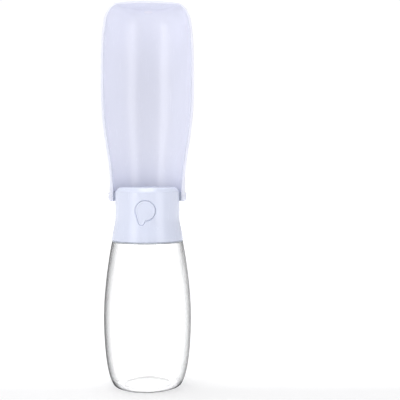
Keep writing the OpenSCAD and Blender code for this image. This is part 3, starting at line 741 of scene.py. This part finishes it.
clay = Clay()
outer_low, outer_edge = skin(outside, crown)
inner_low, inner_edge = skin(inside, inner_crown)
clay.bridge(outer_edge, inner_edge, closed=False)
clay.bridge(outer_low, inner_low, closed=False)
print("the two skins:", len(clay.faces), "faces")

# %% The ears that carry the hinge
EAR_R, EAR_MID, EAR_TOP, EAR_IN, EAR_DRAFT, EAR_ROUND = 4.8, 5.0, 18, 30.8, 1.4, 0.3
EAR_BOSS_R, EAR_BOSS_X = 3.4, 33.2

def ear_ring(side, inward, outer, count=72):
    """A ring of an ear's side view, a disc that runs up into a web, on its outside or its inside."""
    web = [(-EAR_R, -EAR_MID), (EAR_R, -EAR_MID), (0.8 * EAR_R, EAR_TOP - EAR_MID), (0, EAR_TOP - EAR_MID),
        (-EAR_R, -EAR_MID)]
    rounding = 0 if inward else EAR_ROUND
    ring = []
    for dy, dz in circle((0, 0), 1, count):
        reach = max(disc_reach((dy, dz), (0, -EAR_MID), EAR_R), line_reach((dy, dz), web)) - inward
        y, z = reach * dy, EAR_MID + reach * dz
        if outer:
            x = math.sqrt(TROUGH_R**2 - y * y) - rounding
        else:
            x = EAR_IN + EAR_DRAFT * max(0, min((z - EAR_R) / 14.2, 1)) + rounding
        ring.append((side * x, y, HINGE_Z + z))
    return ring

for side_x in (-1, 1):
    rings = [ear_ring(side_x, inward, False) for inward in (1.6, 0.35, 0)]
    rings += [ear_ring(side_x, inward, True) for inward in (0, 0.35, 1.6)]
    clay.stack(rings, (side_x * EAR_IN, 0, HINGE_Z + EAR_MID), (side_x * TROUGH_R, 0, HINGE_Z + EAR_MID))
    rings = [around_hinge(side_x, r, EAR_BOSS_X + out) for r, out in ((EAR_BOSS_R, 0), (EAR_BOSS_R, 1.8),
        (3.28, 2.08), (3.0, 2.2), (2.0, 2.2), (1.7, 2.0))]
    clay.stack(rings, (side_x * EAR_BOSS_X, 0, HINGE_Z), (side_x * (EAR_BOSS_X + 2), 0, HINGE_Z))
trough = mould(clay, "drinking_trough", trough_plastic_lighter_copy, bevel=0.45, angle=42)
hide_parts("trough")
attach(trough, "trough")

# %% [markdown]
# ## The gate mark and the hinge's washers
# Molten plastic enters the trough's mould through a gate at its crown, and leaves a small
# matt oblong there. At the hinge, a friction washer sits between the head and each ear and
# keeps the open trough from falling back.

# %% The gate mark, laid on the inside of the crown
GATE_X, GATE_Y, GATE_SLIM = -1.0, 29.6, 2.5

def roof(x, y):
    """The height of the crown's inside above a point."""
    return HINGE_Z + height_at(inner[-len(crown) - len(tip):], math.hypot(x, y))

def gate_ring(half, drop):
    """An oblong below the crown: half is its half width, and GATE_SLIM less its half depth."""
    oblong = [(GATE_X + half * x, GATE_Y + (half - GATE_SLIM) * y) for x, y in circle((0, 0), 1, 40)]
    return [(x, y, roof(x, y) - drop) for x, y in oblong]

clay = Clay()
middle = roof(GATE_X, GATE_Y)
clay.stack([gate_ring(*step) for step in ((3.2, -0.4), (3.9, -0.4), (3.9, 0.28), (3.75, 0.38), (3.2, 0.4))],
    (GATE_X, GATE_Y, middle + 0.4), (GATE_X, GATE_Y, middle - 0.4))
gate_plastic = gloss_plastic("matt plastic, gate mark", (0.89, 0.885, 0.955), (0.87, 0.865, 0.945), 0.5)
gate_mark = mould(clay, "gate_mark", gate_plastic, sharp=40)
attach(gate_mark, "trough")

# %% The washers
PIN_R, WASHER_IN, WASHER_OUT = 1.7, 28.9, 30.75
clay = Clay()
for side_x in (-1, 1):
    clay.tube([around_hinge(side_x, r, x) for r, x in ((PIN_R, WASHER_IN), (BOSS_R, WASHER_IN), (4.1, 29.5),
        (4.1, 30.55), (BOSS_R, WASHER_OUT), (PIN_R, WASHER_OUT))])
# The washers' dark silicone stands in for the shade in the hinge gap.
washers = mould(clay, "hinge_washers", silicone)
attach(washers, "head")

# %% [markdown]
# ## Threads and springs
# A thread and a spring follow the same rule: a straight rod wound round an axis while it
# climbs. Geometry Nodes can state that rule once. The tree starts from a straight rod,
# reads how far along it each point lies, and moves the point to its place on the helix.
# The inputs carry the sizes, so four pieces come from one rule.

# %% A shape under construction
class Recipe(Web):
    def __init__(self, name, **inputs):
        super().__init__(bpy.data.node_groups.new(name, "GeometryNodeTree"))
        face = self.tree.interface
        face.new_socket("Piece", in_out="OUTPUT", socket_type="NodeSocketGeometry")
        for key, start in inputs.items():
            kind = "NodeSocketInt" if isinstance(start, int) else "NodeSocketFloat"
            face.new_socket(key.replace("_", " "), in_out="INPUT", socket_type=kind).default_value = start
        face.new_socket("Material", in_out="INPUT", socket_type="NodeSocketMaterial")
        self.entry = self.tree.nodes.new("NodeGroupInput")

    def size(self, name):
        return Wire(self, self.entry.outputs[name])

    def parts(self, vector):
        split = self.node("ShaderNodeSeparateXYZ", None, {0: vector}).socket.node
        return [Wire(self, output) for output in split.outputs]

    def wave(self, kind, angle):
        return self.node("ShaderNodeMath", {"operation": kind}, {0: angle})

    def deliver(self, shape):
        real = self.node("GeometryNodeRealizeInstances", None, {0: shape})
        dressed = self.node("GeometryNodeSetMaterial", None,
            {"Geometry": real, "Material": self.size("Material")})
        self.plug(self.tree.nodes.new("NodeGroupOutput").inputs[0], dressed)

# %% The rule: a rod wound round Z
def wind(recipe, rod, across, up, share):
    """Moves a point of the rod to the helix: across is its distance from the axis, up its height."""
    angle = share * recipe.size("Turns") * (2 * math.pi)
    place = recipe.node("ShaderNodeCombineXYZ", None,
        {0: across * recipe.wave("COSINE", angle), 1: across * recipe.wave("SINE", angle), 2: up})
    recipe.deliver(recipe.node("GeometryNodeSetPosition", None, {"Geometry": rod, "Position": place}))

# %% The spring: round wire, with a closed turn at each end
CLOSED_RISE = 1.08  # wires from one closed turn to the next

spring = Recipe("spring", Steps=120, Sides=12, Turns=4.0, Mean_Radius=0.005, Wire=0.0008, Height=0.007)
rod = spring.node("GeometryNodeMeshCylinder", {"fill_type": "NGON"}, {"Vertices": spring.size("Sides"),
    "Side Segments": spring.size("Steps"), "Radius": 0.5, "Depth": 1.0}, "Mesh")
x, y, z = spring.parts(spring.node("GeometryNodeInputPosition"))
share = z + 0.5
turn_at, wire = share * spring.size("Turns"), spring.size("Wire")
last = spring.size("Turns") - 1
rise = wire * CLOSED_RISE
middle = (spring.size("Height") - wire - rise * 2) / (spring.size("Turns") - 2)
climb = (rise * spring.clamp(turn_at) + middle * spring.clamp(turn_at - 1, 0.0, last - 1)
    + rise * spring.clamp(turn_at - last))
wind(spring, rod, spring.size("Mean Radius") - x * wire, wire * 0.5 + climb + y * wire, share)
print("spring recipe:", len(spring.tree.nodes), "nodes")

# %% The thread: a flat-topped bar that runs out at both ends
RUN_OUT, SUNK = 9, 0.08  # its ends fade over a ninth of its length; its root sits a little in the wall

thread = Recipe("thread", Steps=150, Turns=1.6, Root_Radius=0.0198, Depth=0.00095, Root_Width=0.0016,
    Crest_Width=0.0007, Pitch=0.003)
bar = thread.node("GeometryNodeMeshCube", None, {"Size": (1.0, 1.0, 1.0), "Vertices X": 2, "Vertices Y": 2,
    "Vertices Z": thread.size("Steps")}, "Mesh")
x, y, z = thread.parts(thread.node("GeometryNodeInputPosition"))
share, out = z + 0.5, 0.5 - x
fade = thread.clamp(share * RUN_OUT) * thread.clamp((1 - share) * RUN_OUT)
width = thread.size("Root Width") + (thread.size("Crest Width") - thread.size("Root Width")) * out
wind(thread, bar, thread.size("Root Radius") + thread.size("Depth") * (out * fade - SUNK),
    share * thread.size("Turns") * thread.size("Pitch") + y * width, share)
print("thread recipe:", len(thread.tree.nodes), "nodes")

# %% Make a piece from a recipe
def from_recipe(name, recipe, material, place, **sizes):
    holder = bpy.data.objects.new(name, bpy.data.meshes.new(name))
    scene.collection.objects.link(holder)
    modifier = holder.modifiers.new("recipe", "NODES")
    modifier.node_group = recipe.tree
    given = {"Material": material, **{key.replace("_", " "): size for key, size in sizes.items()}}
    for item in recipe.tree.interface.items_tree:
        if item.in_out == "INPUT":
            modifier[item.identifier] = given.get(item.name, item.default_value)
    graph = bpy.context.evaluated_depsgraph_get()
    mesh = bpy.data.meshes.new_from_object(holder.evaluated_get(graph), depsgraph=graph)
    holder.modifiers.clear()
    holder.data = mesh
    mesh.transform(place)
    model = bmesh.new()
    model.from_mesh(mesh)
    bmesh.ops.recalc_face_normals(model, faces=model.faces)
    for face in model.faces:
        face.smooth = len(face.verts) == 4
    for edge in model.edges:
        edge.smooth = edge.calc_face_angle(0) < math.radians(40)
    model.to_mesh(mesh)
    volume = model.calc_volume() * 1e9
    model.free()
    print(name, "-", len(mesh.vertices), "points, volume", round(volume, 1), "cubic millimetres")
    return holder

# %% The two springs
SPRING_Y, SLIDE_Z, LIFT_Z = -16.3, 159.35, 136.7
push = from_recipe("button_return_spring", spring, steel,
    Matrix.Translation((0, SPRING_Y * MM, SLIDE_Z * MM)) @ Matrix.Rotation(math.radians(90), 4, "X"),
    Mean_Radius=5.6 * MM, Height=7.8 * MM)
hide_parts("button_spring")
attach(push, "head")
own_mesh(push)
lift = from_recipe("valve_return_spring", spring, steel, Matrix.Translation((0, 0, LIFT_Z * MM)),
    Mean_Radius=4.6 * MM, Height=6.8 * MM)
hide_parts("valve_spring")
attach(lift, "head")
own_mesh(lift)

# %% The threads, on the neck and in the insert
NECK_THREAD_Z, INSERT_THREAD_Z, INSERT_R = 138.6, 137.1, 21.1
neck_thread = from_recipe("neck_thread", thread, bottle_plastic,
    Matrix.Translation((0, 0, NECK_THREAD_Z * MM)))
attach(neck_thread, "bottle")
insert_thread = from_recipe("insert_thread", thread, inner_plastic,
    Matrix.Translation((0, 0, INSERT_THREAD_Z * MM)),
    Root_Radius=INSERT_R * MM, Depth=-0.95 * MM, Root_Width=1.5 * MM, Crest_Width=0.6 * MM, Turns=1.8)
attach(insert_thread, "head")

# %% [markdown]
# ## What stays as it came
# The valve, its seals, the screws and the pins already have the right shapes. They keep
# their meshes and get their finishes. The solids that a piece replaces don't show, so they
# need none.

# %% Finishes for the solids that stay
finishes = {silicone: ("neck_gasket", "outlet_seal", "slide_seal", "valve_disc"),
    inner_plastic: ("neck_insert", "valve_cage", "valve_stem", "stem_follower", "push_slide",
        "seal_retainer"),
    steel: ("insert_screws", "follower_screw", "retainer_screws", "hinge_pins")}
for material, solids in finishes.items():
    for node in solids:
        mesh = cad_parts[node].data
        mesh.materials.clear()
        mesh.materials.append(material)
    print(material.name, "for", ", ".join(solids))

# %% [markdown]
# ## The studio
# A white room for a white thing. Two tall softboxes stand in front, left and right of the
# camera, and draw the soft upright highlights on the round walls; one overhead lights the
# bevel and the floor. The lamps don't show in the picture, only their reflections do. The
# surroundings are white where they are seen, directly or through the bottle, and greyer
# where they only light the plastic, so that the walls keep their shape: they are a little
# brighter behind and to the left.

# %% The surroundings
DIM, SLOPE, SEEN = 0.405, (-0.20, 0.26, 0), 1.02
world = bpy.data.worlds.new("studio")
world.use_nodes = True
scene.world = world
room = Web(world.node_tree)
heading = room.node("ShaderNodeTexCoord", out="Generated")
seen = room.node("ShaderNodeMath", {"operation": "MAXIMUM"},
    {0: room.ray("Camera"), 1: room.ray("Transmission")})
strength = room.node("ShaderNodeMapRange", None,
    {"Value": seen, "To Min": room.dot(heading, SLOPE) + DIM, "To Max": SEEN}, "Result")
background = world.node_tree.nodes["Background"]
background.inputs["Color"].default_value = (1, 1, 1, 1)
room.plug(background.inputs["Strength"], strength)
scene.view_settings.view_transform = "Standard"
print("surroundings: about", round(DIM, 1), "for light,", SEEN, "where seen")

# %% [markdown]
# The floor is white paper. Lit from in front, it would go grey behind the bottle and far
# off, so it glows a little by itself: more behind the bottle, more with the distance, and
# enough beyond its well lit middle to meet the surroundings without a line. Seen through
# the bottle it glows fully, as the surroundings do.

# %% The floor
NEAR_GLOW, GLOW_BEHIND, GLOW_FAR, GLOW_EDGE = 0.18, 0.24, 0.28, 0.38
floor_mesh = bpy.data.meshes.new("floor")
floor_mesh.from_pydata([(-6, -6, 0), (6, -6, 0), (6, 6, 0), (-6, 6, 0)], [], [(0, 1, 2, 3)])
floor = bpy.data.objects.new("floor", floor_mesh)
scene.collection.objects.link(floor)
paper = Finish("studio paper", Roughness=0.9, Specular_IOR_Level=0.0, Emission_Strength=1.0)
distance = paper.node("ShaderNodeVectorMath", {"operation": "LENGTH"}, {0: paper.place}, "Value")
far, edge = paper.between(distance, 0.25, 1.6), paper.between(distance, 0.7, 1.2)
behind = paper.between(paper.dot(paper.place, (0, 1, 0)), -0.022, 0.03)
through = paper.ray("Transmission")
glow = NEAR_GLOW + GLOW_BEHIND * behind * (1 - edge) + GLOW_FAR * far + GLOW_EDGE * edge
paper.give(Base_Color=paper.blend(paper.grain(40, 4), (0.86, 0.86, 0.87), (0.88, 0.88, 0.885)),
    Emission_Color=paper.blend(glow * (1 - through) + through, (0, 0, 0), (1, 1, 1)))
floor_mesh.materials.append(paper.material)
print("floor:", floor.dimensions[:])

# %% The softboxes
def softbox(name, at, towards, width, height, power):
    lamp = bpy.data.lights.new(name, "AREA")
    lamp.shape, lamp.size, lamp.size_y, lamp.energy = "RECTANGLE", width, height, power
    box = bpy.data.objects.new(name, lamp)
    box.location = at
    box.rotation_euler = (Vector(towards) - Vector(at)).to_track_quat("-Z", "Y").to_euler()
    box.visible_camera = False
    scene.collection.objects.link(box)

def around_camera(angle, distance, z):
    """A place at an angle from the camera's side, positive to the right."""
    a = math.radians(angle)
    return (distance * math.sin(a), -distance * math.cos(a), z)

softbox("softbox left", around_camera(-43, 1.15, 0.34), (0, 0, 0.2), 0.5, 1.2, 4.55)
softbox("softbox right", around_camera(47.5, 1.15, 0.34), (0, 0, 0.2), 0.5, 1.2, 4.4)
softbox("softbox above", (-0.02, -0.18, 1.34), (0, 0, 0.15), 0.7, 0.7, 6.8)
print("softboxes:", len(bpy.data.lights))
